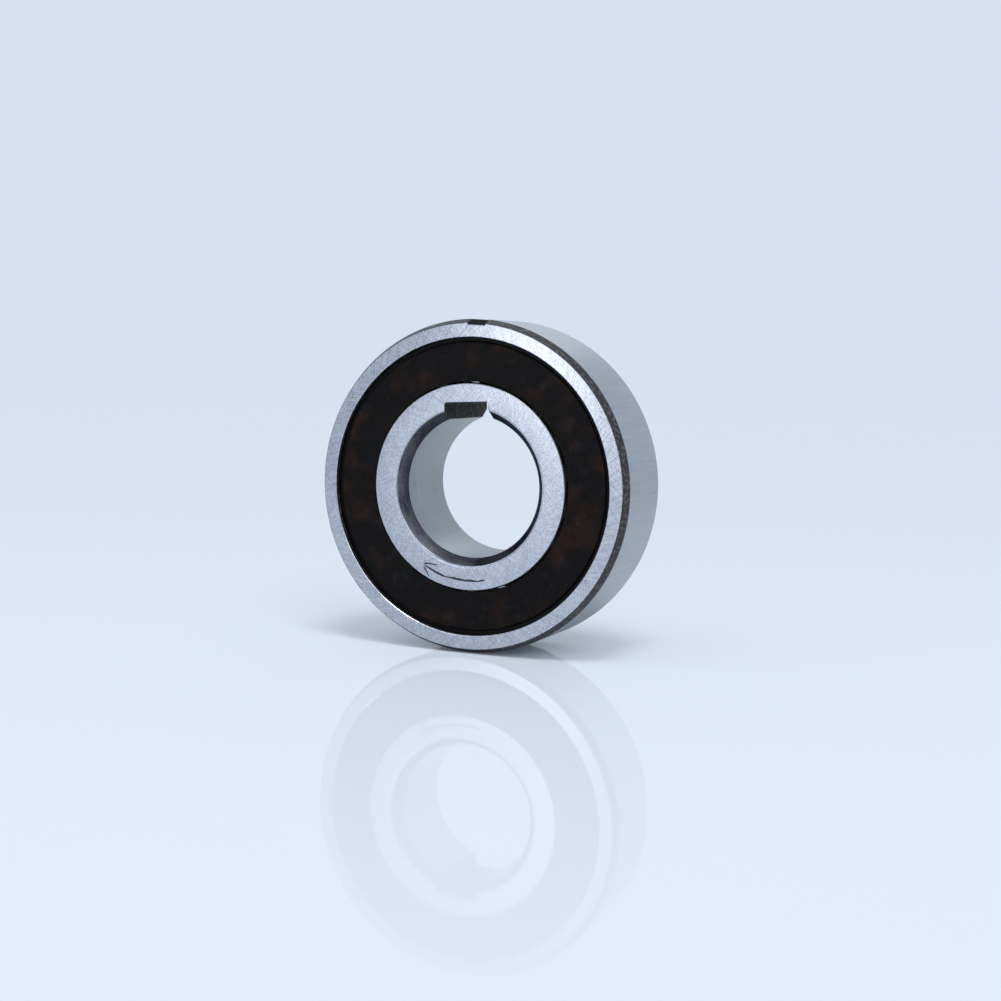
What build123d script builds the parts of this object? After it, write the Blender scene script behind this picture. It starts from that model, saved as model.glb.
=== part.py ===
from build123d import *
from math import sqrt
import os

# Sprag clutch carried on its own ball row, in millimetres. The axis lies along Y, with the origin on
# it at half width. The face with the arrow looks along -Y, and the keyway and the notch are at the top.

# Rings: what stacks up from the bore to the outside, and the width
bore_d = 15.0
inner_wall = 3.3  # bore to inner race
race_gap = 3.4  # inner race to outer race, the height that the sprags bridge
outer_wall = 3.3  # outer race to outside
width = 11.0

# Chamfers: how far each goes across the face, and how far along the axis
bore_chamfer = 0.82
bore_chamfer_run = 1.27
rim_chamfer = 0.45
rim_chamfer_run = 1.03

# Keyway in the inner ring and key notch in the outer ring, turned clockwise from the top, in degrees
key_width = 5.0
key_depth = 1.35
key_corner = 0.25
key_turn = -2.8
notch_width = 2.0
notch_depth = 0.65
notch_turn = 1.8

# Arrow cut into the front of the inner ring, with angles clockwise from the top, in degrees
arrow_line = 0.2
arrow_depth = 0.05
arrow_inset = 1.05  # below the inner race
arrow_tail = 167.0
arrow_tip = 210.5
barb_sweep = 7.5  # how far back along the arc the barbs reach, in degrees
barb_rise = 0.8  # how far to each side they reach

# Shields: a pressed panel with a rim one step lower, snapped behind a lip of the outer ring
shield_gauge = 0.3
shield_recess = 0.35  # face of the rings to face of the panel
shield_bend = 0.25  # outside radius of the panel's edge
shield_gap = 0.2  # inner race to edge of the panel
seat_width = 1.4  # outer race to mouth of the outer ring
snap_depth = 0.3  # mouth to bottom of the snap groove
snap_clear = 0.05
gutter = 0.45  # mouth to edge of the panel

# Ball row, at the back
ball_d = 4.762
ball_count = 9
ball_clear = 0.03
groove_share = 0.52  # radius of a groove in ball diameters
ball_end_gap = 0.12  # ball to shield

# Cages: clearance to both races and to the next thing along the axis
cage_gap = 0.35
row_gap = 0.12

# Ball cage: a crown, open towards the back shield
pocket_clear = 0.1
crown_back = 0.35  # behind each pocket
crown_ring = 0.9
prong_wall = 0.6
prong_reach = 1.0  # past the middle of the ball

# Sprag row, at the front
sprag_count = 18
sprag_clear = 0.05  # to each race at rest
head_half = 0.95  # half the width of a sprag's head
cam_over = 0.4  # by how much a cam's radius is larger than half the head
cam_offset = 0.15  # centre of a cam to the radial line through the pivot
waist_half = 0.6
flank_land = 0.33  # straight side below each cam
head_corner = 0.15
end_float = 0.08

# Sprag cage: two side rings joined by bars between the pockets
side_ring = 0.4
pocket_float = 0.25
bar_step = 0.8  # inner race to bars

# Garter spring, drawn as a ring of its coil's outside diameter, in a slot through every sprag
coil_d = 0.8
coil_race_gap = 0.4
coil_bar_gap = 0.2
coil_slot_gap = 0.1

# Worked out: radii
bore_r = bore_d / 2
race_in_r = bore_r + inner_wall
race_out_r = race_in_r + race_gap
outer_r = race_out_r + outer_wall
pitch_r = (race_in_r + race_out_r) / 2
mouth_r = race_out_r + seat_width
snap_r = mouth_r + snap_depth
cage_in_r = race_in_r + cage_gap
cage_out_r = race_out_r - cage_gap
coil_r = race_out_r - coil_race_gap - coil_d / 2
bar_out_r = coil_r - coil_d / 2 - coil_bar_gap

# Worked out: places along the axis, from the front
half = width / 2
lip_depth = shield_recess + shield_gauge
seat_depth = lip_depth + shield_gauge
front_room = -half + lip_depth
back_room = half - lip_depth
ball_r = ball_d / 2
ball_y = back_room - ball_end_gap - ball_r
pocket_r = ball_r + pocket_clear
crown_y = ball_y - pocket_r - crown_back
sprag_cage_front = front_room + row_gap
sprag_cage_back = crown_y - row_gap
sprag_y = (sprag_cage_front + sprag_cage_back) / 2
sprag_pocket_len = sprag_cage_back - sprag_cage_front - 2 * side_ring
sprag_len = sprag_pocket_len - 2 * end_float

# The front face, with X to the right and Z up on it
front_face = Plane(origin=(0, -half, 0), x_dir=(1, 0, 0), z_dir=(0, -1, 0))
front_view = Plane(origin=(0, 0, 0), x_dir=(1, 0, 0), z_dir=(0, -1, 0))


def turned(points):
    """Solid turned about the axis from an outline of (radius, place along the axis)."""
    return revolve(make_face(Polyline(*points, close=True)), Axis.Y)


def plain_ring(inner_r, outer_r, low, high):
    return turned([(inner_r, low), (outer_r, low), (outer_r, high), (inner_r, high)])


def at_angle(degrees):
    """Turn from the top, clockwise as seen from the front."""
    return Rot(0, degrees, 0)


def ball_groove(bottom_r, side):
    """Ring that cuts a ball groove; side is 1 where the balls lie outside the wall and -1 inside."""
    groove_r = groove_share * ball_d
    return Pos(0, ball_y, 0) * Rot(90, 0, 0) * Torus(bottom_r + side * groove_r, groove_r)


def outer_ring():
    """Outer ring, with a seat, a snap groove and a lip for a shield at each end."""
    quarter = [
        (race_out_r, half - seat_depth),
        (snap_r, half - seat_depth),
        (snap_r, half - lip_depth + snap_clear),
        (mouth_r, half - lip_depth + snap_clear),
        (mouth_r, half),
        (outer_r - rim_chamfer, half),
        (outer_r, half - rim_chamfer_run),
    ]
    ring = turned(quarter + [(r, -y) for r, y in reversed(quarter)])
    ring -= ball_groove(pitch_r + ball_r + ball_clear, -1)
    notch = Pos(0, 0, outer_r) * Box(notch_width, 2 * width, 2 * notch_depth)
    return ring - at_angle(notch_turn) * notch


def arrow():
    """Arrow along an arc, pointing clockwise, as a thin solid to cut away."""
    arc_r = race_in_r - arrow_inset
    shaft = CenterArc((0, 0), arc_r, 90 - arrow_tail, arrow_tail - arrow_tip)
    tip = Location((0, 0, 0), (0, 0, -arrow_tip)) * Pos(0, arc_r)
    lines = [shaft]
    for side in (-1, 1):
        back = Location((0, 0, 0), (0, 0, barb_sweep - arrow_tip)) * Pos(0, arc_r + side * barb_rise)
        lines.append(Line(tip.position, back.position))
    marks = trace(lines, line_width=arrow_line)
    return extrude(front_face * marks, amount=-arrow_depth)


def inner_ring():
    """Inner ring, with the keyway through its bore."""
    quarter = [
        (bore_r, half - bore_chamfer_run),
        (bore_r + bore_chamfer, half),
        (race_in_r, half),
    ]
    ring = turned(quarter + [(r, -y) for r, y in reversed(quarter)])
    ring -= ball_groove(pitch_r - ball_r - ball_clear, 1)
    key_top = bore_r + key_depth
    key = Pos(0, 0, key_top / 2) * Box(key_width, 2 * width, key_top)
    key = fillet(key.faces().sort_by(Axis.Z)[-1].edges().filter_by(Axis.Y), key_corner)
    return ring - at_angle(key_turn) * key - arrow()


def front_shield():
    """Pressed shield: a flat panel, a joggle and the rim that snaps in."""
    panel_r = mouth_r - gutter
    points = [
        (race_in_r + shield_gap, -half + shield_recess),
        (panel_r, -half + shield_recess),
        (panel_r, -half + lip_depth),
        (snap_r - snap_clear, -half + lip_depth),
        (snap_r - snap_clear, -half + seat_depth),
        (panel_r - shield_gauge, -half + seat_depth),
        (panel_r - shield_gauge, -half + lip_depth),
        (race_in_r + shield_gap, -half + lip_depth),
    ]
    section = make_face(Polyline(*points, close=True))
    bend = section.vertices().sort_by_distance((panel_r, -half + shield_recess))[0]
    return revolve(fillet(bend, shield_bend), Axis.Y)


def back_shield():
    return Rot(0, 0, 180) * front_shield()


def ball(index):
    return at_angle(index * 360 / ball_count) * Pos(0, ball_y, pitch_r) * Sphere(ball_r)


def ball_cage():
    """Crown cage: a back ring with two prongs round each ball."""
    tip_y = ball_y + prong_reach
    wall = plain_ring(cage_in_r, cage_out_r, crown_y, tip_y)
    cage = plain_ring(cage_in_r, cage_out_r, crown_y, crown_y + crown_ring)
    tower = Pos(0, ball_y, pitch_r) * Cylinder(pocket_r + prong_wall, race_gap)
    pocket = Pos(0, ball_y, pitch_r) * Sphere(pocket_r)
    for index in range(ball_count):
        cage += wall & at_angle(index * 360 / ball_count) * tower
    for index in range(ball_count):
        cage -= at_angle(index * 360 / ball_count) * pocket
    return cage


def sprag_section():
    """End view of a sprag at the top of the clutch, about its pivot: two cams and a waist."""
    cam_r = head_half + cam_over
    cam_v = race_gap / 2 - sprag_clear - cam_r
    near_v = cam_v + sqrt(cam_r**2 - (head_half - cam_offset) ** 2)
    far_v = cam_v + sqrt(cam_r**2 - (head_half + cam_offset) ** 2)
    crown = (-cam_offset, cam_v + cam_r)
    root = (cam_offset, -cam_v - cam_r)
    flank_v = far_v - flank_land
    outline = [
        ThreePointArc((-head_half, near_v), crown, (head_half, far_v)),
        Line((head_half, far_v), (head_half, flank_v)),
        ThreePointArc((head_half, flank_v), (waist_half, 0), (head_half, -flank_v)),
        Line((head_half, -flank_v), (head_half, -near_v)),
        ThreePointArc((head_half, -near_v), root, (-head_half, -far_v)),
        Line((-head_half, -far_v), (-head_half, -flank_v)),
        ThreePointArc((-head_half, -flank_v), (-waist_half, 0), (-head_half, flank_v)),
        Line((-head_half, flank_v), (-head_half, near_v)),
    ]
    section = make_face(outline)
    corners = [v for v in section.vertices() if abs(v.Y) > flank_v + flank_land / 2]
    return fillet(corners, head_corner)


def top_sprag():
    """Sprag at the top of the clutch, with the slot for the garter spring across its outer head."""
    middle = extrude(front_view * sprag_section(), amount=sprag_len / 2, both=True)
    slot_floor = bar_out_r - pitch_r
    slot = Pos(0, 0, slot_floor + race_gap / 2) * Box(4 * head_half, coil_d + 2 * coil_slot_gap, race_gap)
    return Pos(0, sprag_y, pitch_r) * (middle - slot)


def sprag(index):
    return at_angle(index * 360 / sprag_count) * top_sprag()


def sprag_cage():
    """Two side rings and a band of bars, with a pocket for each sprag."""
    cage = plain_ring(race_in_r + bar_step, bar_out_r, sprag_cage_front, sprag_cage_back)
    pocket_width = 2 * (head_half + pocket_float)
    pocket = Pos(0, sprag_y, pitch_r) * Box(pocket_width, sprag_pocket_len, 2 * race_gap)
    for index in range(sprag_count):
        cage -= at_angle(index * 360 / sprag_count) * pocket
    cage += plain_ring(cage_in_r, cage_out_r, sprag_cage_front, sprag_cage_front + side_ring)
    cage += plain_ring(cage_in_r, cage_out_r, sprag_cage_back - side_ring, sprag_cage_back)
    return cage


def garter_spring():
    return Pos(0, sprag_y, 0) * Rot(90, 0, 0) * Torus(coil_r, coil_d / 2)


parts = {
    "outer_ring": outer_ring(),
    "inner_ring": inner_ring(),
    "front_shield": front_shield(),
    "back_shield": back_shield(),
    "ball_cage": ball_cage(),
    "sprag_cage": sprag_cage(),
    "garter_spring": garter_spring(),
}
for index in range(ball_count):
    parts[f"ball_{index + 1:02d}"] = ball(index)
for index in range(sprag_count):
    parts[f"sprag_{index + 1:02d}"] = sprag(index)

os.makedirs("parts", exist_ok=True)
for name, part in parts.items():
    export_step(part, f"parts/{name}.step")
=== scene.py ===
import math

import bpy
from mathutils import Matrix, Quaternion, Vector


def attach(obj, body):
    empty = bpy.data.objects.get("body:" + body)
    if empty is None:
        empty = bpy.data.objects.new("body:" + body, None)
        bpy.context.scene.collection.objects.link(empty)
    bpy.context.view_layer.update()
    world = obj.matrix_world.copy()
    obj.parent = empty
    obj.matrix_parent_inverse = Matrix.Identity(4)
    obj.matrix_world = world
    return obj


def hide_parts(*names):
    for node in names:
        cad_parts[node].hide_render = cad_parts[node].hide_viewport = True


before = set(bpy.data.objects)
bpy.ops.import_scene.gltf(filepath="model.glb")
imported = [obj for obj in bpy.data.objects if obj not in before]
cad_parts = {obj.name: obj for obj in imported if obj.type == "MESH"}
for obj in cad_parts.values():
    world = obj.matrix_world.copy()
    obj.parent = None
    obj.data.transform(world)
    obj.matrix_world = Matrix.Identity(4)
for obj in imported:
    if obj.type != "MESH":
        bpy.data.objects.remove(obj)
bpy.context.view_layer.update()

# Camera
# A short telephoto at the height of the clutch's upper half, a little to its right, which shows the
# front face, the outside of the outer ring and the left wall of the bore. It leans over by 1.4 degrees.
eye = Vector((0.07125, -0.16125, 0.01428))
sight_line = Vector((-0.39608, 0.91374, -0.09056))
camera_roll = math.radians(1.38)
level = sight_line.to_track_quat("-Z", "Y")
rolled = level @ Quaternion((0, 0, 1), camera_roll)
bpy.ops.object.camera_add(location=eye, rotation=rolled.to_euler())
camera = bpy.context.object
camera.data.lens = 59.37
camera.data.sensor_width = 36
camera.data.clip_start = 0.01
camera.data.clip_end = 20
bpy.context.scene.camera = camera
bpy.context.scene.view_settings.view_transform = "Standard"

# Inner ring
# Bearing steel, turned from bar and hardened. The faces are ground by a cup wheel, which leaves curved
# crossing marks, and the bore is honed. The bore's chamfers stay as turned and the keyway as broached,
# both dark from hardening. A hand tool has scratched the free-running direction into the front face.
MM = 0.001
half_width = 5.5
bore_r = 7.5
bore_chamfer = 0.82
bore_chamfer_run = 1.27
chamfer_ease = 0.2
race_in_r = 10.8
pitch_r = 12.5
ball_r = 2.381
ball_y = 2.349
groove_r = 2.476
key_width = 5.0
key_floor_r = 8.85
key_corner = 0.25
key_turn = -2.8
edge_ease = 0.08
race_gap = 0.03
overrun = 1


def alone(piece):
    """Selects one piece and nothing else, since operators act on all that is selected."""
    bpy.ops.object.select_all(action="DESELECT")
    piece.select_set(True)
    bpy.context.view_layer.objects.active = piece


def named(name):
    """The piece that an operator has just added, with its name and with its place in its mesh."""
    piece = bpy.context.object
    piece.name = piece.data.name = name
    bpy.ops.object.transform_apply(location=True, rotation=True, scale=True)
    return piece


def close_up():
    """Merges doubled points, turns the faces outwards and leaves edit mode."""
    bpy.ops.mesh.select_all(action="SELECT")
    bpy.ops.mesh.remove_doubles(threshold=1e-6)
    bpy.ops.mesh.normals_make_consistent(inside=False)
    bpy.ops.object.mode_set(mode="OBJECT")


def turned(name, outline, around=256):
    """Ring turned about the axis: a circle is extruded through (radius, place along the axis)."""
    bpy.ops.object.select_all(action="DESELECT")
    radius, place = outline[0]
    bpy.ops.mesh.primitive_circle_add(
        vertices=around,
        radius=radius * MM,
        location=(0, place * MM, 0),
        rotation=(math.pi / 2, 0, 0),
    )
    piece = named(name)
    bpy.ops.object.mode_set(mode="EDIT")
    bpy.ops.mesh.select_all(action="SELECT")
    for next_radius, next_place in outline[1:] + outline[:1]:
        step = (0, (next_place - place) * MM, 0)
        bpy.ops.mesh.extrude_region_move(TRANSFORM_OT_translate={"value": step})
        share = next_radius / radius
        if share != 1:
            middle = (0, next_place * MM, 0)
            bpy.ops.transform.resize(value=(share, 1, share), center_override=middle)
        radius, place = next_radius, next_place
    close_up()
    return piece


def rounded(before, corner, after, reach, steps=8):
    """Points that round off a corner of an outline, over a reach to each side of it."""
    start, end = (
        [c + (e - c) * reach / math.dist(corner, ends) for c, e in zip(corner, ends)]
        for ends in (before, after)
    )
    points = []
    for step in range(steps + 1):
        share = step / steps
        points.append(
            tuple(
                (1 - share) ** 2 * a + 2 * share * (1 - share) * b + share**2 * c
                for a, b, c in zip(start, corner, end)
            )
        )
    return points


def ball_groove(bottom_r, wall_r, side, steps=14):
    """Points of a ball groove in a wall, from the front; side is 1 for the inner ring, -1 outside."""
    centre_r = bottom_r + side * groove_r
    reach = math.acos(abs(centre_r - wall_r) / groove_r)
    points = []
    for step in range(steps + 1):
        angle = reach * (2 * step / steps - 1)
        points.append((centre_r - side * groove_r * math.cos(angle), ball_y + groove_r * math.sin(angle)))
    return points


def block(name, size, centre):
    """Rectangular tool of a width, a length along the axis and a height, in millimetres."""
    bpy.ops.object.select_all(action="DESELECT")
    bpy.ops.mesh.primitive_cube_add(size=1, location=[c * MM for c in centre])
    bpy.context.object.scale = [s * MM for s in size]
    return named(name)


def swing(piece, degrees):
    """Turns a piece clockwise about the axis, as seen from the front, within its mesh."""
    alone(piece)
    piece.rotation_euler[1] = math.radians(degrees)
    bpy.ops.object.transform_apply(location=True, rotation=True, scale=True)
    return piece


def work(piece, tool, operation="DIFFERENCE"):
    """Cuts a piece with a tool, or joins or trims it, and the tool's finish stays on what it made."""
    alone(piece)
    joint = piece.modifiers.new("worked", "BOOLEAN")
    joint.operation = operation
    joint.solver = "EXACT"
    joint.material_mode = "TRANSFER"
    joint.object = tool
    bpy.ops.object.modifier_apply(modifier=joint.name)
    bpy.data.objects.remove(tool)
    return piece


def welded(piece):
    """Makes one point of those that all but meet, so that a cut leaves no sliver."""
    alone(piece)
    weld = piece.modifiers.new("welded", "WELD")
    weld.merge_threshold = 0.01 * MM
    bpy.ops.object.modifier_apply(modifier=weld.name)
    return piece


def ease_edges(piece, width, segments=2, limit=25):
    """Breaks the sharp edges, as tumbling does."""
    welded(piece)
    bevel = piece.modifiers.new("eased edges", "BEVEL")
    bevel.width = width * MM
    bevel.segments = segments
    bevel.limit_method = "ANGLE"
    bevel.angle_limit = math.radians(limit)
    bevel.use_clamp_overlap = False
    bpy.ops.object.modifier_apply(modifier=bevel.name)
    return piece


def smooth(piece):
    """Smooth shading on what is round, with the flat faces and the eased edges kept flat."""
    alone(piece)
    bpy.ops.object.shade_smooth_by_angle(angle=math.radians(8))
    return piece


def colour(code):
    """sRGB hex code to the linear colour that a shader takes."""
    shares = [int(code[at : at + 2], 16) / 255 for at in (1, 3, 5)]
    linear = [s / 12.92 if s <= 0.04045 else ((s + 0.055) / 1.055) ** 2.4 for s in shares]
    return (*linear, 1)


def add(tree, kind, sockets=None, **settings):
    """Adds a node, or takes one that is there, and gives it settings, values and links."""
    node = tree.nodes.new(kind) if isinstance(kind, str) else kind
    for name, value in settings.items():
        setattr(node, name, value)
    for name, value in (sockets or {}).items():
        if isinstance(value, bpy.types.NodeSocket):
            tree.links.new(node.inputs[name], value)
        else:
            node.inputs[name].default_value = value
    return node


def finish(name, code, metallic, roughness):
    """New material: its node tree and its shader, with the values that are the same all over."""
    material = bpy.data.materials.new(name)
    material.use_nodes = True
    tree = material.node_tree
    shader = tree.nodes["Principled BSDF"]
    add(tree, shader, {"Base Color": colour(code), "Metallic": metallic, "Roughness": roughness})
    return material, tree, shader


def place_on(tree):
    """Object coordinates of a finish, in metres."""
    return add(tree, "ShaderNodeTexCoord").outputs["Object"]


def shades(tree, share, low, high):
    """Colour between two shades, by a share from 0 to 1."""
    sockets = {0: share, 6: colour(low), 7: colour(high)}
    return add(tree, "ShaderNodeMix", sockets, data_type="RGBA").outputs[2]


def span(tree, value, low, high, to_low, to_high):
    """A value's range stretched to another range."""
    names = ("Value", "From Min", "From Max", "To Min", "To Max")
    sockets = dict(zip(names, (value, low, high, to_low, to_high)))
    return add(tree, "ShaderNodeMapRange", sockets).outputs[0]


def wheel_marks(tree, lean, around, along, detail):
    """Curved marks of a cup wheel: noise drawn out along lines that lean off the radius.

    lean is in radians for each metre of radius, around is in marks for each radian, and along in
    marks for each metre of radius."""
    flat = add(
        tree, "ShaderNodeVectorMath", {0: place_on(tree), 1: (1, 0, 1)}, operation="MULTIPLY"
    ).outputs[0]
    radius = add(tree, "ShaderNodeVectorMath", {0: flat}, operation="LENGTH").outputs["Value"]
    angle = add(tree, "ShaderNodeMath", {0: radius, 1: lean}, operation="MULTIPLY").outputs[0]
    leaned = add(
        tree, "ShaderNodeVectorRotate", {"Vector": flat, "Angle": angle}, rotation_type="Y_AXIS"
    ).outputs[0]
    unit = add(tree, "ShaderNodeVectorMath", {0: leaned}, operation="NORMALIZE").outputs[0]
    rim = add(
        tree, "ShaderNodeVectorMath", {0: unit, "Scale": around}, operation="SCALE"
    ).outputs[0]
    depth = add(tree, "ShaderNodeMath", {0: radius, 1: along}, operation="MULTIPLY").outputs[0]
    shift = add(tree, "ShaderNodeCombineXYZ", {"Y": depth}).outputs[0]
    where = add(tree, "ShaderNodeVectorMath", {0: rim, 1: shift}, operation="ADD").outputs[0]
    return add(
        tree, "ShaderNodeTexNoise", {"Vector": where, "Scale": 1, "Detail": detail, "Roughness": 0.6}
    ).outputs["Fac"]


def ground_face(name, low, high, lean, rough):
    """Face-ground bearing steel: silver with a blue cast. The real marks are about 0.05 mm apart,
    and they are drawn 0.2 mm apart here, so that they show."""
    material, tree, shader = finish(name, "#B6B8BF", 1, rough)
    marks = wheel_marks(tree, -lean, 125, 380, 3)
    crossing = wheel_marks(tree, 0.6 * lean, 140, 420, 2)
    cloud = add(
        tree, "ShaderNodeTexNoise", {"Vector": place_on(tree), "Scale": 4600, "Detail": 2}
    ).outputs["Fac"]
    cloud = add(tree, "ShaderNodeMath", {0: cloud, 1: 0.7}, operation="MULTIPLY").outputs[0]
    both = add(tree, "ShaderNodeMath", {0: marks, 1: crossing}, operation="ADD").outputs[0]
    every = add(tree, "ShaderNodeMath", {0: both, 1: cloud}, operation="ADD").outputs[0]
    share = span(tree, every, 1.05, 1.65, 0, 1)
    add(
        tree,
        shader,
        {
            "Base Color": shades(tree, share, low, high),
            "Roughness": span(tree, marks, 0.3, 0.7, rough - 0.05, rough + 0.05),
            "Normal": add(
                tree,
                "ShaderNodeBump",
                {"Height": every, "Strength": 0.5, "Distance": 0.000005},
            ).outputs[0],
        },
    )
    return material


def turned_dark(name, low, high, edge, metal, rough):
    """Turned and hardened bearing steel, not ground: dark, with the tool's fine rings and with bare
    flakes where the scale has worn off. The rings are drawn 0.12 mm apart, twice their real feed."""
    material, tree, shader = finish(name, low, metal, rough)
    place = place_on(tree)
    scale = add(
        tree, "ShaderNodeVectorMath", {0: place, 1: (0.08, 1, 0.08)}, operation="MULTIPLY"
    ).outputs[0]
    rings = add(
        tree, "ShaderNodeTexNoise", {"Vector": scale, "Scale": 8000, "Detail": 2}
    ).outputs["Fac"]
    patches = add(
        tree, "ShaderNodeTexNoise", {"Vector": place, "Scale": 450, "Detail": 4}
    ).outputs["Fac"]
    both = add(tree, "ShaderNodeMath", {0: rings, 1: patches}, operation="ADD").outputs[0]
    scaled = shades(tree, span(tree, both, 0.7, 1.3, 0, 1), low, high)
    flakes = add(
        tree, "ShaderNodeTexNoise", {"Vector": place, "Scale": 2600, "Detail": 4}
    ).outputs["Fac"]
    bare = span(tree, flakes, 0.5, 0.75, 0, 0.55)
    worn = add(
        tree,
        "ShaderNodeMix",
        {0: bare, 6: scaled, 7: colour("#8C8887")},
        data_type="RGBA",
    ).outputs[2]
    add(
        tree,
        shader,
        {
            "Base Color": worn,
            "Metallic": span(tree, bare, 0, 1, metal, 1),
            "Specular IOR Level": 0.35,
            "Specular Tint": colour(edge),
            "Roughness": span(tree, patches, 0.3, 0.7, rough - 0.06, rough + 0.06),
            "Normal": add(
                tree,
                "ShaderNodeBump",
                {"Height": rings, "Strength": 0.4, "Distance": 0.000008},
            ).outputs[0],
        },
    )
    return material


def black_scale(name):
    """Broached steel under black heat scale: matt and mottled, with grains of about 0.3 mm."""
    material, tree, shader = finish(name, "#34322F", 0.6, 0.6)
    place = place_on(tree)
    grains = add(
        tree, "ShaderNodeTexNoise", {"Vector": place, "Scale": 2600, "Detail": 5, "Roughness": 0.7}
    ).outputs["Fac"]
    add(
        tree,
        shader,
        {
            "Base Color": shades(tree, span(tree, grains, 0.35, 0.65, 0, 1), "#141211", "#3B3834"),
            "Roughness": span(tree, grains, 0.3, 0.7, 0.75, 0.45),
            "Normal": add(
                tree,
                "ShaderNodeBump",
                {"Height": grains, "Strength": 0.7, "Distance": 0.00005},
            ).outputs[0],
        },
    )
    return material


def honed(name, dark, light, chatter):
    """Ground or honed round: satin steel with fine rings round the axis, drawn 0.1 mm apart, and
    faint chatter lines along it, 0.25 mm apart."""
    material, tree, shader = finish(name, dark, 1, 0.33)
    place = place_on(tree)
    along = add(
        tree, "ShaderNodeVectorMath", {0: place, 1: (0.04, 1, 0.04)}, operation="MULTIPLY"
    ).outputs[0]
    rings = add(tree, "ShaderNodeTexNoise", {"Vector": along, "Scale": 8000, "Detail": 3})
    across = add(
        tree, "ShaderNodeVectorMath", {0: place, 1: (1, 0.03, 1)}, operation="MULTIPLY"
    ).outputs[0]
    lines = add(tree, "ShaderNodeTexNoise", {"Vector": across, "Scale": 3600, "Detail": 2})
    chattered = add(
        tree, "ShaderNodeMath", {0: lines.outputs["Fac"], 1: chatter}, operation="MULTIPLY"
    ).outputs[0]
    height = add(
        tree, "ShaderNodeMath", {0: rings.outputs["Fac"], 1: chattered}, operation="ADD"
    ).outputs[0]
    middle = 0.5 + 0.5 * chatter
    add(
        tree,
        shader,
        {
            "Base Color": shades(
                tree, span(tree, height, middle - 0.25, middle + 0.25, 0, 1), dark, light
            ),
            "Roughness": span(tree, rings.outputs["Fac"], 0.3, 0.7, 0.34, 0.42),
            "Normal": add(
                tree,
                "ShaderNodeBump",
                {"Height": height, "Strength": 0.4, "Distance": 0.000005},
            ).outputs[0],
        },
    )
    return material


def coat(piece, material, covers):
    """Gives a finish to the faces that the test accepts: radius and place in mm, and normal."""
    if material.name not in piece.data.materials:
        piece.data.materials.append(material)
    number = piece.data.materials.find(material.name)
    for face in piece.data.polygons:
        x, y, z = face.center / MM
        if covers(math.hypot(x, z), y, face.normal):
            face.material_index = number


honed_bore = honed("honed_bearing_steel", "#8D9293", "#A3A6A4", 0.25)
inner_chamfer = turned_dark("turned_bearing_steel_dark", "#4A4C54", "#76777E", "#7A7A84", 1, 0.34)
broached = black_scale("broached_steel_black_scale")
inner_face = ground_face("face_ground_bearing_steel_inner", "#999CA7", "#C8CAD2", 105, 0.2)

bore_end = (bore_r, half_width - bore_chamfer_run)
face_start = (bore_r + bore_chamfer, half_width)
face_end = (race_in_r, half_width)
outline = [bore_end, *rounded(bore_end, face_start, face_end, chamfer_ease), face_end]
front_half = [(r, -y) for r, y in outline]
groove = ball_groove(pitch_r - ball_r - race_gap, race_in_r, 1)
inner_ring = turned("ground_inner_ring", front_half + groove + outline[::-1])
coat(inner_ring, honed_bore, lambda r, y, n: True)
coat(inner_ring, inner_face, lambda r, y, n: abs(n.y) > 0.8)
coat(inner_ring, inner_chamfer, lambda r, y, n: r < 8.6 and 0.2 < abs(n.y) <= 0.8)

keyway = block("keyway_broach", (key_width, 4 * half_width, key_floor_r), (0, 0, key_floor_r / 2))
bpy.ops.object.mode_set(mode="EDIT")
bpy.ops.mesh.select_all(action="DESELECT")
bpy.ops.mesh.select_mode(type="EDGE")
bpy.ops.object.mode_set(mode="OBJECT")
for edge in keyway.data.edges:
    ends = [keyway.data.vertices[v].co for v in edge.vertices]
    edge.select = min(e.z for e in ends) > 0.5 * key_floor_r * MM and abs(ends[0].x - ends[1].x) < MM
bpy.ops.object.mode_set(mode="EDIT")
bpy.ops.mesh.bevel(offset=key_corner * MM, segments=4, affect="EDGES")
close_up()
keyway.data.materials.append(broached)
work(inner_ring, swing(keyway, key_turn))
ease_edges(inner_ring, edge_ease, 3)


def scratch(points):
    """Round-nosed tool drawn along (x, z, width) points just below the front face."""
    bpy.ops.object.select_all(action="DESELECT")
    x, z, width = points[0]
    bpy.ops.mesh.primitive_circle_add(
        vertices=8,
        radius=width / 2 * MM,
        fill_type="NGON",
        location=(x * MM, -half_width * MM, z * MM),
        rotation=(0, math.pi / 2, 0),
    )
    tool = named("scratch")
    bpy.ops.object.mode_set(mode="EDIT")
    bpy.ops.mesh.select_all(action="SELECT")
    for next_x, next_z, next_width in points[1:]:
        step = ((next_x - x) * MM, 0, (next_z - z) * MM)
        bpy.ops.mesh.extrude_region_move(TRANSFORM_OT_translate={"value": step})
        share = next_width / width
        middle = (next_x * MM, -half_width * MM, next_z * MM)
        bpy.ops.transform.resize(value=(share, share, share), center_override=middle)
        x, z, width = next_x, next_z, next_width
    close_up()
    return tool


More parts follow.
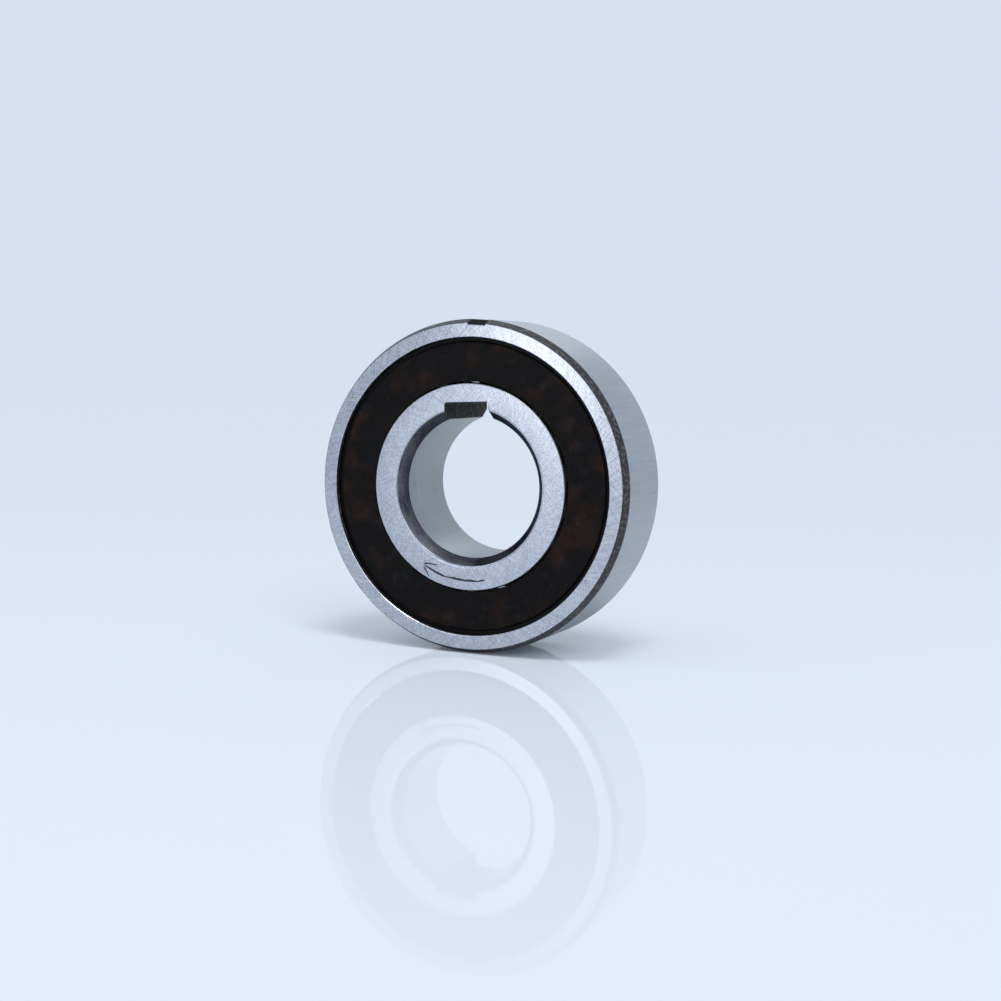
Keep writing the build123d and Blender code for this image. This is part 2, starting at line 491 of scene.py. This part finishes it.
scratched, tree, shader = finish("scratched_steel_dark", "#3C3B40", 0.7, 0.5)
grime = add(tree, "ShaderNodeTexNoise", {"Vector": place_on(tree), "Scale": 5000, "Detail": 3})
add(
    tree,
    shader,
    {
        "Base Color": shades(
            tree, span(tree, grime.outputs["Fac"], 0.35, 0.65, 0, 1), "#2A2A2E", "#66656C"
        )
    },
)
arrow_r = 9.75
shaft = []
for angle, out, width in (
    (167, 0.06, 0.1),
    (169.5, 0.08, 0.18),
    (172, 0.12, 0.14),
    (174.5, 0.08, 0.2),
    (177, 0.02, 0.26),
    (180.5, 0.04, 0.2),
    (184, 0.01, 0.26),
    (188, 0.0, 0.26),
    (191, 0.03, 0.14),
    (193.5, 0.08, 0.12),
    (196, 0.09, 0.24),
    (200.5, 0.04, 0.26),
    (204.5, 0.02, 0.24),
    (208, 0.03, 0.18),
    (209.5, 0.05, 0.1),
):
    turn = math.radians(angle)
    reach = arrow_r + out
    shaft.append((reach * math.sin(turn), reach * math.cos(turn), width))
upper_barb = [(-4.88, -8.36, 0.1), (-4.6, -8.3, 0.2), (-4.2, -8.3, 0.16), (-3.4, -8.4, 0.12)]
lower_barb = [(-4.95, -8.46, 0.12), (-4.88, -8.75, 0.2), (-4.6, -9.13, 0.26), (-4.27, -9.68, 0.14)]
for stroke in (shaft, upper_barb, lower_barb):
    tool = scratch(stroke)
    tool.data.materials.append(scratched)
    work(inner_ring, tool)
smooth(inner_ring)
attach(inner_ring, "hub")
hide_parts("inner_ring")

# Outer ring
# The same steel. Its outside and faces are ground, its rims are chamfered on the lathe and stay dark,
# and a small key notch is milled across the outside. Each end has a groove that a shield snaps into.
race_out_r = 14.2
outer_r = 17.5
mouth_r = 15.6
snap_r = 15.9
lip_depth = 0.65
seat_depth = 0.95
snap_gap = 0.05
rim_chamfer = 0.45
rim_chamfer_run = 1.03
rim_ease = 0.22
notch_width = 2.0
notch_depth = 0.65
notch_turn = 1.8

ground_outside = honed("ground_outside_bearing_steel", "#A1A6AB", "#B1B5B7", 0.9)
outer_face = ground_face("face_ground_bearing_steel_outer", "#989BA5", "#CACBD2", 62, 0.15)
rim_dark = turned_dark("turned_rim_bearing_steel_dark", "#19181C", "#2D2A2F", "#FFFFFF", 0, 0.42)
outline = [
    (race_out_r, half_width - seat_depth),
    (snap_r, half_width - seat_depth),
    (snap_r, half_width - lip_depth + snap_gap),
    (mouth_r, half_width - lip_depth + snap_gap),
    (mouth_r, half_width),
    (outer_r - rim_chamfer, half_width),
    *rounded(
        (outer_r - rim_chamfer, half_width),
        (outer_r, half_width - rim_chamfer_run),
        (outer_r, 0),
        rim_ease,
        6,
    ),
]
groove = ball_groove(pitch_r + ball_r + race_gap, race_out_r, -1)
front_half = [(r, -y) for r, y in outline]
outer_ring = turned("ground_outer_ring", front_half[::-1] + groove + outline)
coat(outer_ring, rim_dark, lambda r, y, n: True)
coat(outer_ring, outer_face, lambda r, y, n: r > mouth_r and abs(n.y) > 0.95 and abs(y) > 5.4)
coat(outer_ring, ground_outside, lambda r, y, n: r > 17.4 and abs(n.y) < 0.2)
coat(outer_ring, honed_bore, lambda r, y, n: r < 15 and abs(n.y) < 0.9)
notch_size = (notch_width, 4 * half_width, 2 * notch_depth)
notch = block("notch_cutter", notch_size, (0, 0, outer_r))
notch.data.materials.append(broached)
work(outer_ring, swing(notch, notch_turn))
smooth(ease_edges(outer_ring, edge_ease, 3))
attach(outer_ring, "housing")
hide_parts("outer_ring")

# Balls
# Nine balls of chrome steel, lapped and polished, which carry the load between the rings. They run in
# the grooves at the back half of the clutch.
ball_count = 9
lapped, tree, shader = finish("lapped_chrome_steel", "#D0D3D6", 1, 0.08)
film = add(tree, "ShaderNodeTexNoise", {"Vector": place_on(tree), "Scale": 900, "Detail": 4})
add(
    tree,
    shader,
    {
        "Base Color": shades(tree, film.outputs["Fac"], "#C4C8CC", "#DADCDE"),
        "Roughness": span(tree, film.outputs["Fac"], 0.3, 0.7, 0.05, 0.13),
    },
)
balls = []
bpy.ops.object.select_all(action="DESELECT")
bpy.ops.mesh.primitive_cube_add(size=ball_r * MM)
ball = named("bearing_ball_01")
bpy.ops.object.mode_set(mode="EDIT")
bpy.ops.mesh.select_all(action="SELECT")
bpy.ops.mesh.subdivide(number_cuts=11)
bpy.ops.object.mode_set(mode="OBJECT")
cast = ball.modifiers.new("rounded", "CAST")
cast.cast_type = "SPHERE"
cast.factor = 1
cast.use_radius_as_size = False
cast.size = ball_r * MM
bpy.ops.object.modifier_apply(modifier=cast.name)
bpy.ops.object.shade_smooth()
ball.location = (0, ball_y * MM, pitch_r * MM)
bpy.ops.object.transform_apply(location=True, rotation=True, scale=True)
ball.data.materials.append(lapped)


def repeat(piece, count):
    """The piece and its copies, spread evenly round the axis, each with a mesh of its own."""
    group = [piece]
    for index in range(1, count):
        copy = piece.copy()
        copy.data = piece.data.copy()
        copy.name = copy.data.name = piece.name.replace("01", f"{index + 1:02d}")
        bpy.context.scene.collection.objects.link(copy)
        group.append(swing(copy, index * 360 / count))
    return group


for number, piece in enumerate(repeat(ball, ball_count), 1):
    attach(piece, f"ball_{number:02d}_body")
    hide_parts(f"ball_{number:02d}")

# Ball cage
# A crown moulded in natural nylon: a ring, with two prongs that close round each ball. The balls are
# pressed in from the open side, which faces the back shield. The mould leaves its edges round.
cage_in_r = 11.15
cage_out_r = 13.85
crown_y = -0.482
crown_ring = 0.9
cage_ease = 0.12
prong_tip = ball_y + 1.0
pocket_r = ball_r + 0.1
prong_r = pocket_r + 0.6

nylon, tree, shader = finish("moulded_natural_nylon", "#D2C4A0", 0, 0.45)
flow = add(
    tree, "ShaderNodeTexNoise", {"Vector": place_on(tree), "Scale": 300, "Detail": 5}
).outputs["Fac"]
grain = add(
    tree, "ShaderNodeTexNoise", {"Vector": place_on(tree), "Scale": 6000, "Detail": 2}
).outputs["Fac"]
add(
    tree,
    shader,
    {
        "Base Color": shades(tree, span(tree, flow, 0.3, 0.7, 0, 1), "#C9BA94", "#DACEAE"),
        "Roughness": span(tree, grain, 0.3, 0.7, 0.38, 0.52),
        "IOR": 1.53,
        "Subsurface Weight": 0.15,
        "Subsurface Radius": (0.0006, 0.0004, 0.0002),
        "Normal": add(
            tree, "ShaderNodeBump", {"Height": grain, "Strength": 0.25, "Distance": 0.00001}
        ).outputs[0],
    },
)


def joined(pieces):
    """Several tools as one."""
    bpy.ops.object.select_all(action="DESELECT")
    for piece in pieces:
        piece.select_set(True)
    bpy.context.view_layer.objects.active = pieces[0]
    bpy.ops.object.join()
    return pieces[0]


def ring_of(inner, outer, low, high, ease):
    """Outline of a ring of a rectangular section, with its four corners rounded off."""
    corners = [(inner, low), (outer, low), (outer, high), (inner, high)]
    outline = []
    for at in range(4):
        outline += rounded(corners[at - 1], corners[at], corners[(at + 1) % 4], ease, 3)
    return outline


blank = ring_of(cage_in_r, cage_out_r, crown_y, prong_tip, cage_ease)
ball_cage = turned("crown_ball_cage", blank, 216)
gaps = ring_of(
    cage_in_r - overrun,
    cage_out_r + overrun,
    crown_y + crown_ring,
    prong_tip + overrun,
    cage_ease,
)
gap_cutter = turned("gap_cutter", gaps, 81)
bpy.ops.object.select_all(action="DESELECT")
bpy.ops.mesh.primitive_cylinder_add(
    vertices=72, radius=prong_r * MM, depth=6 * MM, location=(0, ball_y * MM, pitch_r * MM)
)
work(gap_cutter, joined(repeat(named("tower_01"), ball_count)))
work(ball_cage, gap_cutter)
bpy.ops.object.select_all(action="DESELECT")
bpy.ops.mesh.primitive_uv_sphere_add(
    segments=64, ring_count=32, radius=pocket_r * MM, location=(0, ball_y * MM, pitch_r * MM)
)
pockets = joined(repeat(named("pocket_01"), ball_count))
work(ball_cage, pockets)
ball_cage.data.materials.clear()
ball_cage.data.materials.append(nylon)
smooth(welded(ball_cage))
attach(ball_cage, "ball_row")
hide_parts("ball_cage")

# Sprag cage
# A band of steel pressed into two side rings, with a pocket punched for each sprag.
sprag_count = 18
sprag_y = -2.666
cage_front = -4.73
cage_back = -0.602
side_ring = 0.4
band_in_r = 11.6
band_out_r = 12.8
sprag_pocket = (2.4, 3.228, 2.4)
punched_ease = 0.02

pressed, tree, shader = finish("pressed_phosphated_steel", "#9A9B9C", 1, 0.42)
crystals = add(
    tree, "ShaderNodeTexNoise", {"Vector": place_on(tree), "Scale": 5200, "Detail": 4}
).outputs["Fac"]
add(
    tree,
    shader,
    {
        "Base Color": shades(tree, span(tree, crystals, 0.3, 0.7, 0, 1), "#858687", "#AEAFB0"),
        "Roughness": span(tree, crystals, 0.3, 0.7, 0.36, 0.5),
        "Normal": add(
            tree, "ShaderNodeBump", {"Height": crystals, "Strength": 0.3, "Distance": 0.00001}
        ).outputs[0],
    },
)
sprag_cage = turned(
    "punched_sprag_cage",
    [
        (cage_in_r, cage_front),
        (cage_out_r, cage_front),
        (cage_out_r, cage_front + side_ring),
        (band_out_r, cage_front + side_ring),
        (band_out_r, cage_back - side_ring),
        (cage_out_r, cage_back - side_ring),
        (cage_out_r, cage_back),
        (cage_in_r, cage_back),
        (cage_in_r, cage_back - side_ring),
        (band_in_r, cage_back - side_ring),
        (band_in_r, cage_front + side_ring),
        (cage_in_r, cage_front + side_ring),
    ],
    162,
)
punch = block("punch_01", sprag_pocket, (0, sprag_y, (band_in_r + band_out_r) / 2))
work(sprag_cage, joined(repeat(punch, sprag_count)))
sprag_cage.data.materials.clear()
sprag_cage.data.materials.append(pressed)
smooth(ease_edges(sprag_cage, punched_ease))
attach(sprag_cage, "sprag_row")
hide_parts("sprag_cage")

# Sprags
# Eighteen cams of drawn bearing steel, cut to length, hardened and barrel polished. Each has an outer
# and an inner cam, a waist, and a slot across its outer head for the garter spring.
sprag_len = 3.168
cam_r = 1.35
cam_across = 0.15
cam_up = 0.3
head_half = 0.95
waist_r = 0.985
waist_centre = 1.585
slot_width = 1.0
slot_floor = 0.3
barrelled_ease = 0.03


def rod(name, radius, across, up):
    """Round tool along the axis, placed from the pivot of the topmost sprag."""
    bpy.ops.object.select_all(action="DESELECT")
    bpy.ops.mesh.primitive_cylinder_add(
        vertices=96,
        radius=radius * MM,
        depth=sprag_len * MM,
        location=(across * MM, sprag_y * MM, (pitch_r + up) * MM),
        rotation=(math.pi / 2, 0, 0),
    )
    return named(name)


barrelled, tree, shader = finish("barrel_polished_sprag_steel", "#B4B6BB", 1, 0.25)
lines = add(
    tree,
    "ShaderNodeTexNoise",
    {
        "Vector": add(
            tree, "ShaderNodeVectorMath", {0: place_on(tree), 1: (1, 0.05, 1)}, operation="MULTIPLY"
        ).outputs[0],
        "Scale": 6000,
        "Detail": 3,
    },
).outputs["Fac"]
add(
    tree,
    shader,
    {
        "Base Color": shades(tree, span(tree, lines, 0.3, 0.7, 0, 1), "#A6A8AE", "#C2C4C8"),
        "Roughness": span(tree, lines, 0.3, 0.7, 0.2, 0.34),
    },
)
sprag = rod("sprag_cam_01", cam_r, -cam_across, cam_up)
work(sprag, rod("inner_cam", cam_r, cam_across, -cam_up), "UNION")
work(sprag, block("flanks", (2 * head_half, 8, 8), (0, sprag_y, pitch_r)), "INTERSECT")
for side in (-1, 1):
    work(sprag, rod("waist", waist_r, side * waist_centre, 0))
slot_size = (8, slot_width, 2)
work(sprag, block("slot_cutter", slot_size, (0, sprag_y, pitch_r + slot_floor + overrun)))
sprag.data.materials.clear()
sprag.data.materials.append(barrelled)
smooth(ease_edges(sprag, barrelled_ease))
for number, piece in enumerate(repeat(sprag, sprag_count), 1):
    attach(piece, f"sprag_{number:02d}_body")
    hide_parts(f"sprag_{number:02d}")

# Garter spring
# Spring wire of 0.16 mm, coiled at a pitch of 0.2 mm and closed to a ring. It lies in the slots of the
# sprags and leans them all towards the locked position.
wire_r = 0.08
coil_half = 0.4
coil_ring_r = 13.4
wire_pitch = 0.2

drawn, tree, shader = finish("drawn_spring_wire", "#BCBEC2", 1, 0.28)
draw = add(
    tree, "ShaderNodeTexNoise", {"Vector": place_on(tree), "Scale": 3000, "Detail": 3}
).outputs["Fac"]
add(
    tree,
    shader,
    {
        "Base Color": shades(tree, span(tree, draw, 0.3, 0.7, 0, 1), "#AEB0B5", "#C8CACE"),
        "Roughness": span(tree, draw, 0.3, 0.7, 0.22, 0.36),
    },
)
length = 2 * math.pi * coil_ring_r - 3 * wire_r
turns = round(length / wire_pitch)
bpy.ops.object.select_all(action="DESELECT")
bpy.ops.mesh.primitive_circle_add(
    vertices=6, radius=wire_r * MM, fill_type="NGON", location=(0, (coil_half - wire_r) * MM, 0)
)
spring = named("coiled_garter_spring")
coil = spring.modifiers.new("coiled", "SCREW")
coil.axis = "X"
coil.angle = 2 * math.pi
coil.screw_offset = length / turns * MM
coil.steps = coil.render_steps = 12
coil.iterations = turns
bpy.ops.object.modifier_apply(modifier=coil.name)
ring = spring.modifiers.new("ring", "SIMPLE_DEFORM")
ring.deform_method = "BEND"
ring.deform_axis = "Z"
ring.angle = (length + 2 * wire_r) / coil_ring_r
bpy.ops.object.modifier_apply(modifier=ring.name)
spring.location[1] = -coil_ring_r * MM
bpy.ops.object.transform_apply(location=True, rotation=True, scale=True)
spring.rotation_euler[0] = math.pi / 2
spring.location[1] = sprag_y * MM
bpy.ops.object.transform_apply(location=True, rotation=True, scale=True)
bpy.ops.object.mode_set(mode="EDIT")
bpy.ops.mesh.select_all(action="SELECT")
bpy.ops.mesh.fill_holes(sides=6)
close_up()
bpy.ops.object.shade_smooth()
spring.data.materials.append(drawn)
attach(spring, "sprag_row")
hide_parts("garter_spring")

# Shields
# Each is a ring of sheet steel, blanked and pressed, with a rim one step lower that snaps behind the
# lip of the outer ring. The black oxide finish is blotched brown by oil and handling.
shield_in_r = 11.0
panel_r = 15.15
panel_front = 5.15
gauge = 0.3
bend_r = 0.25
bend_start = 0.03
shield_ease = 0.045

oxide, tree, shader = finish("pressed_steel_black_oxide", "#1B1513", 0, 0.4)
place = place_on(tree)
blotch = add(
    tree, "ShaderNodeTexNoise", {"Vector": place, "Scale": 330, "Detail": 2, "Roughness": 0.55}
).outputs["Fac"]
mottle = add(
    tree, "ShaderNodeTexNoise", {"Vector": place, "Scale": 1500, "Detail": 4}
).outputs["Fac"]
brown = shades(tree, span(tree, blotch, 0.5, 0.76, 0, 1), "#0D0B0B", "#2A1810")
specks = add(
    tree, "ShaderNodeTexNoise", {"Vector": place, "Scale": 4200, "Detail": 3}
).outputs["Fac"]
dusty = add(
    tree,
    "ShaderNodeMix",
    {0: span(tree, specks, 0.66, 0.85, 0, 0.4), 6: brown, 7: colour("#505156")},
    data_type="RGBA",
).outputs[2]
smudges = add(
    tree, "ShaderNodeTexNoise", {"Vector": place, "Scale": 620, "Detail": 5, "Roughness": 0.65}
).outputs["Fac"]
dusty = add(
    tree,
    "ShaderNodeMix",
    {0: span(tree, smudges, 0.55, 0.8, 0, 0.6), 6: dusty, 7: colour("#25272C")},
    data_type="RGBA",
).outputs[2]
add(
    tree,
    shader,
    {
        "Base Color": dusty,
        "Specular IOR Level": 0.08,
        "Roughness": span(tree, mottle, 0.3, 0.7, 0.3, 0.5),
        "Normal": add(
            tree, "ShaderNodeBump", {"Height": mottle, "Strength": 0.2, "Distance": 0.00002}
        ).outputs[0],
    },
)
bend = [(panel_r - bend_r - bend_start, -panel_front)]
for step in range(13):
    angle = math.pi / 2 * step / 12
    bend.append(
        (
            panel_r - bend_r + bend_r * math.sin(angle),
            bend_r - panel_front - bend_r * math.cos(angle),
        )
    )
front_shield = turned(
    "pressed_front_shield",
    [
        (shield_in_r, -panel_front),
        *bend,
        (panel_r, gauge - panel_front),
        (snap_r - snap_gap, gauge - panel_front),
        (snap_r - snap_gap, 2 * gauge - panel_front),
        (panel_r - gauge, 2 * gauge - panel_front),
        (panel_r - gauge, gauge - panel_front),
        (shield_in_r, gauge - panel_front),
    ],
)
front_shield.data.materials.append(oxide)
# The rim that sits down in the outer ring's groove gets a near-black copy of the oxide: painted shade of
# that gutter.
painted_gutter_shade, tree, shader = finish("oiled_steel_black_oxide", "#070708", 0, 0.35)
film = add(tree, "ShaderNodeTexNoise", {"Vector": place_on(tree), "Scale": 900, "Detail": 3})
add(
    tree,
    shader,
    {
        "Base Color": shades(tree, film.outputs["Fac"], "#050506", "#0D0C0C"),
        "Specular IOR Level": 0.1,
    },
)
coat(front_shield, painted_gutter_shade, lambda r, y, n: r > panel_r - 0.02)
smooth(ease_edges(front_shield, shield_ease, limit=30))
back_shield = front_shield.copy()
back_shield.data = front_shield.data.copy()
back_shield.name = back_shield.data.name = "pressed_back_shield"
bpy.context.scene.collection.objects.link(back_shield)
alone(back_shield)
back_shield.rotation_euler[2] = math.pi
bpy.ops.object.transform_apply(location=True, rotation=True, scale=True)
for shield, node in ((front_shield, "front_shield"), (back_shield, "back_shield")):
    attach(shield, "housing")
    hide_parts(node)

# Table
# A sheet of glossy white acrylic under a pale blue light, which mirrors the clutch weakly and fades
# into the backdrop behind it.
floor_z = -17.5 * MM
backdrop_colour = colour("#D6E1F2")
fade_start = 0.35
fade_end = 0.8
painted_glow_end = 0.45
mirror_share = 0.5
mirror_share_lit = 0.35

bpy.ops.object.select_all(action="DESELECT")
bpy.ops.mesh.primitive_circle_add(
    vertices=96, radius=3, fill_type="NGON", location=(0, 0, floor_z)
)
table = named("table")
material, tree, shader = finish("glossy_white_acrylic", "#DEE9F6", 0, 0.1)
output = tree.nodes["Material Output"]
distance = add(
    tree, "ShaderNodeVectorMath", {0: place_on(tree)}, operation="LENGTH"
).outputs["Value"]
far = span(tree, distance, fade_start, fade_end, 0, 1)
# Close to the clutch the floor's colour is painted a shade lighter, fading out over 0.45 m: a painted
# pool of light.
painted_glow_share = span(tree, distance, 0, painted_glow_end, 1, 0)
pale = shades(tree, painted_glow_share, "#D9E4F2", "#E1ECF9")
seen = add(
    tree,
    "ShaderNodeMix",
    {0: far, 6: pale, 7: backdrop_colour},
    data_type="RGBA",
).outputs[2]
lit = add(tree, "ShaderNodeBsdfDiffuse", {"Color": seen}).outputs[0]
bright = add(tree, "ShaderNodeEmission", {"Color": seen, "Strength": 1}).outputs[0]
path = add(tree, "ShaderNodeLightPath")
mirrored = add(
    tree,
    "ShaderNodeMath",
    {0: path.outputs["Is Glossy Ray"], 1: path.outputs["Is Transmission Ray"]},
    operation="MAXIMUM",
).outputs[0]
mirrored = add(tree, "ShaderNodeMath", {0: mirrored, 1: far}, operation="MULTIPLY").outputs[0]
held = add(
    tree,
    "ShaderNodeMath",
    {0: span(tree, distance, -floor_z, 0.4, 0, 1), 1: 0.45},
    operation="POWER",
).outputs[0]
share = add(
    tree, "ShaderNodeMath", {0: path.outputs["Is Camera Ray"], 1: held}, operation="MULTIPLY"
).outputs[0]
share = add(tree, "ShaderNodeMath", {0: share, 1: mirrored}, operation="MAXIMUM").outputs[0]
body = add(tree, "ShaderNodeMixShader", {0: share, 1: lit, 2: bright}).outputs[0]
mirror = add(tree, "ShaderNodeBsdfGlossy", {"Color": (1, 1, 1, 1), "Roughness": 0.035}).outputs[0]
grazing = add(tree, "ShaderNodeFresnel", {"IOR": 1.45}).outputs[0]
clear = span(tree, far, 0, 1, mirror_share, 0)
direct = span(tree, path.outputs["Is Camera Ray"], 0, 1, mirror_share_lit, 1)
clear = add(tree, "ShaderNodeMath", {0: direct, 1: clear}, operation="MULTIPLY").outputs[0]
weak = add(tree, "ShaderNodeMath", {0: grazing, 1: clear}, operation="MULTIPLY").outputs[0]
top = add(tree, "ShaderNodeMixShader", {0: weak, 1: body, 2: mirror}).outputs[0]
add(tree, output, {"Surface": top})
tree.nodes.remove(shader)
table.data.materials.append(material)

# Studio light
# A pale sky on all sides, and soft lamps: a tall strip that stands on the table in front for the ground
# faces, one high at each side, one above for the bore's chamfer, and one behind for the outside.
world = bpy.data.worlds.new("studio")
bpy.context.scene.world = world
world.use_nodes = True
tree = world.node_tree
path = add(tree, "ShaderNodeLightPath")
plain_view = add(
    tree,
    "ShaderNodeMath",
    {0: path.outputs["Is Camera Ray"], 1: path.outputs["Is Glossy Ray"]},
    operation="MAXIMUM",
).outputs[0]
plain_view = add(
    tree,
    "ShaderNodeMath",
    {0: plain_view, 1: path.outputs["Is Transmission Ray"]},
    operation="MAXIMUM",
).outputs[0]
sky = add(tree, "ShaderNodeBackground", {"Color": colour("#EEF2F8"), "Strength": 0.5}).outputs[0]
backdrop = add(tree, "ShaderNodeBackground", {"Color": backdrop_colour, "Strength": 1}).outputs[0]
both = add(tree, "ShaderNodeMixShader", {0: plain_view, 1: sky, 2: backdrop}).outputs[0]
add(tree, tree.nodes["World Output"], {"Surface": both})


def lamp(name, azimuth, elevation, distance, width, height, watts):
    """Soft lamp that looks at the clutch; azimuth 0 is in front, and positive is right."""
    turn, rise = math.radians(azimuth), math.radians(elevation)
    back = Vector(
        (math.sin(turn) * math.cos(rise), -math.cos(turn) * math.cos(rise), math.sin(rise))
    )
    bpy.ops.object.light_add(
        type="AREA",
        location=back * distance,
        rotation=back.to_track_quat("Z", "Y").to_euler(),
    )
    light = bpy.context.object
    light.name = light.data.name = name
    light.visible_camera = False
    light.data.shape = "RECTANGLE"
    light.data.size = width
    light.data.size_y = height
    light.data.energy = watts


lamp("tall_front_strip", -19.5, 9.5, 0.2, 0.0265, 0.0935, 0.0136)
lamp("high_left_lamp", -55, 50, 0.8, 0.5, 0.5, 0.6)
lamp("high_right_lamp", 42, 40, 0.8, 0.5, 0.5, 1.7)
lamp("top_lamp", 30, 68, 0.8, 0.25, 0.25, 2.4)
lamp("back_left_lamp", -170, 34, 0.9, 0.3, 0.3, 0.2)
